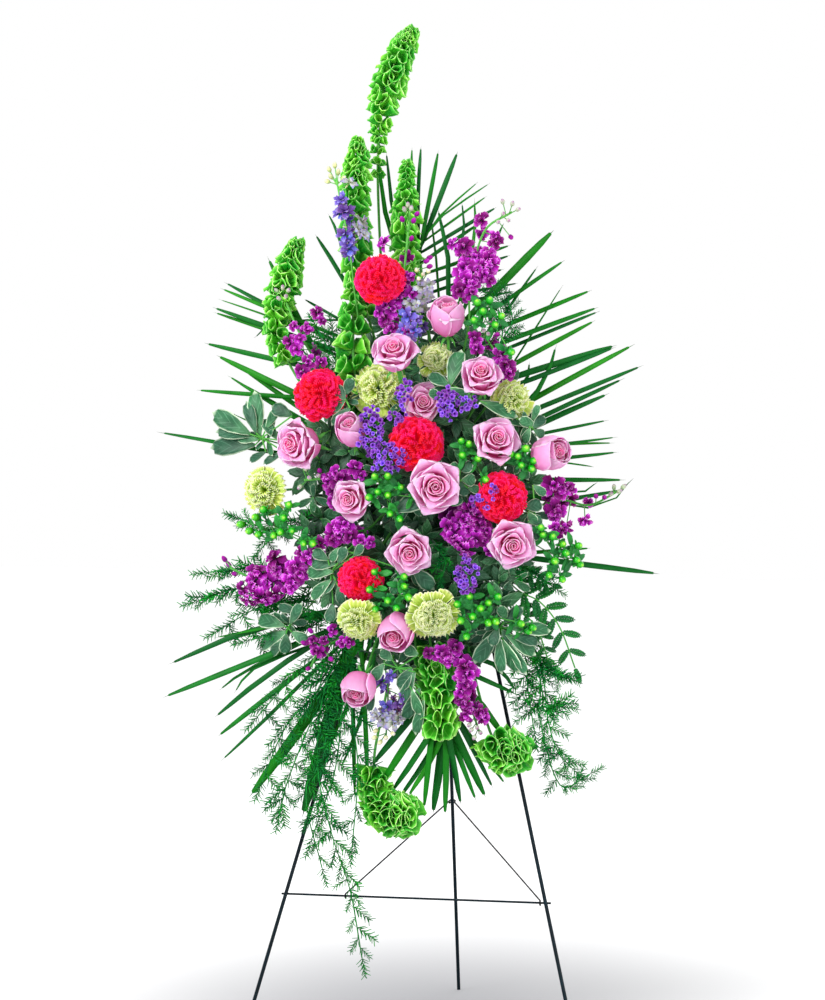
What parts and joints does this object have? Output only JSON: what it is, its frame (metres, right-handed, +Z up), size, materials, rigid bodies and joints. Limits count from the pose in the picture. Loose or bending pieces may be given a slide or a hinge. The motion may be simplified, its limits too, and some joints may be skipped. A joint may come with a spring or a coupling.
{
  "type": "standing funeral spray",
  "caption": "Standing funeral spray of mixed flowers and greenery in a caged foam block on a folding wire easel.",
  "frame": {"origin": "middle of the footprint, on the floor", "axes": "+X to the right as the flowers are seen, +Y to the rear leg, +Z up"},
  "size_m": [0.82, 0.6472, 1.6144],
  "materials": {
    "easel_wire": "satin dark green enamel",
    "brace_wire": "satin near black",
    "foam": "matt, open celled, soaked",
    "cage": "matt green",
    "rose": "soft pink petals, deeper pink heart",
    "hot_carnation": "ruffled hot pink petals",
    "lime_carnation": "ruffled yellow green petals",
    "bells": "light green veined cups",
    "stock": "magenta double florets",
    "larkspur": "lavender florets",
    "statice": "papery violet florets",
    "hypericum": "shiny green berries and leaves",
    "pittosporum": "grey green leaves with cream edges",
    "palm": "satin dark green blades",
    "asparagus": "fine green needles",
    "leatherleaf": "satin dark green leaflets"
  },
  "bodies": {
    "front_frame": {"asparagus_sides": "asparagus", "asparagus_trail": "asparagus", "bells_01": "bells", "bells_02": "bells", "bells_03": "bells", "bells_04": "bells", "bells_05": "bells", "bells_06": "bells", "bells_07": "bells", "bells_08": "bells", "easel_crossbar": "easel_wire", "easel_left_leg": "easel_wire", "easel_pivot_pin": "easel_wire", "easel_right_leg": "easel_wire", "foam_block": "foam", "foam_cage": "cage", "hot_carnation_01": "hot_carnation", "hot_carnation_02": "hot_carnation", "hot_carnation_03": "hot_carnation", "hot_carnation_04": "hot_carnation", "hot_carnation_05": "hot_carnation", "hypericum_left": "hypericum", "hypericum_low": "hypericum", "hypericum_right": "hypericum", "larkspur_low": "larkspur", "larkspur_top": "larkspur", "leatherleaf": "leatherleaf", "lime_carnation_01": "lime_carnation", "lime_carnation_02": "lime_carnation", "lime_carnation_03": "lime_carnation", "lime_carnation_04": "lime_carnation", "lime_carnation_05": "lime_carnation", "lime_carnation_06": "lime_carnation", "palm_fans_left": "palm", "palm_fans_low": "palm", "palm_fans_right": "palm", "pittosporum_lower": "pittosporum", "pittosporum_upper": "pittosporum", "rose_01": "rose", "rose_02": "rose", "rose_03": "rose", "rose_04": "rose", "rose_05": "rose", "rose_06": "rose", "rose_07": "rose", "rose_08": "rose", "rose_09": "rose", "rose_10": "rose", "rose_11": "rose", "rose_12": "rose", "rose_13": "rose", "rose_14": "rose", "statice": "statice", "stock_bottom": "stock", "stock_left": "stock", "stock_right": "stock", "stock_top": "stock"},
    "rear_leg": {"easel_rear_leg": "easel_wire"},
    "braces": {"easel_left_brace": "brace_wire", "easel_right_brace": "brace_wire"}
  },
  "joints": [
    {"name": "rear_leg_fold", "type": "hinge", "parent": "front_frame", "child": "rear_leg", "pos_m": [0.03496, -0.0076, 1.01532], "axis": [1, 0, 0], "range_deg": [-28.14, 0]},
    {"name": "brace_fold", "type": "hinge", "parent": "front_frame", "child": "braces", "pos_m": [0.03496, -0.15808, 0.21707], "axis": [1, 0, 0], "range_deg": [0, 58.1]}
  ],
  "couplings": [
    {"joint": "brace_fold", "follows": "rear_leg_fold", "ratio": -2.054}
  ]
}
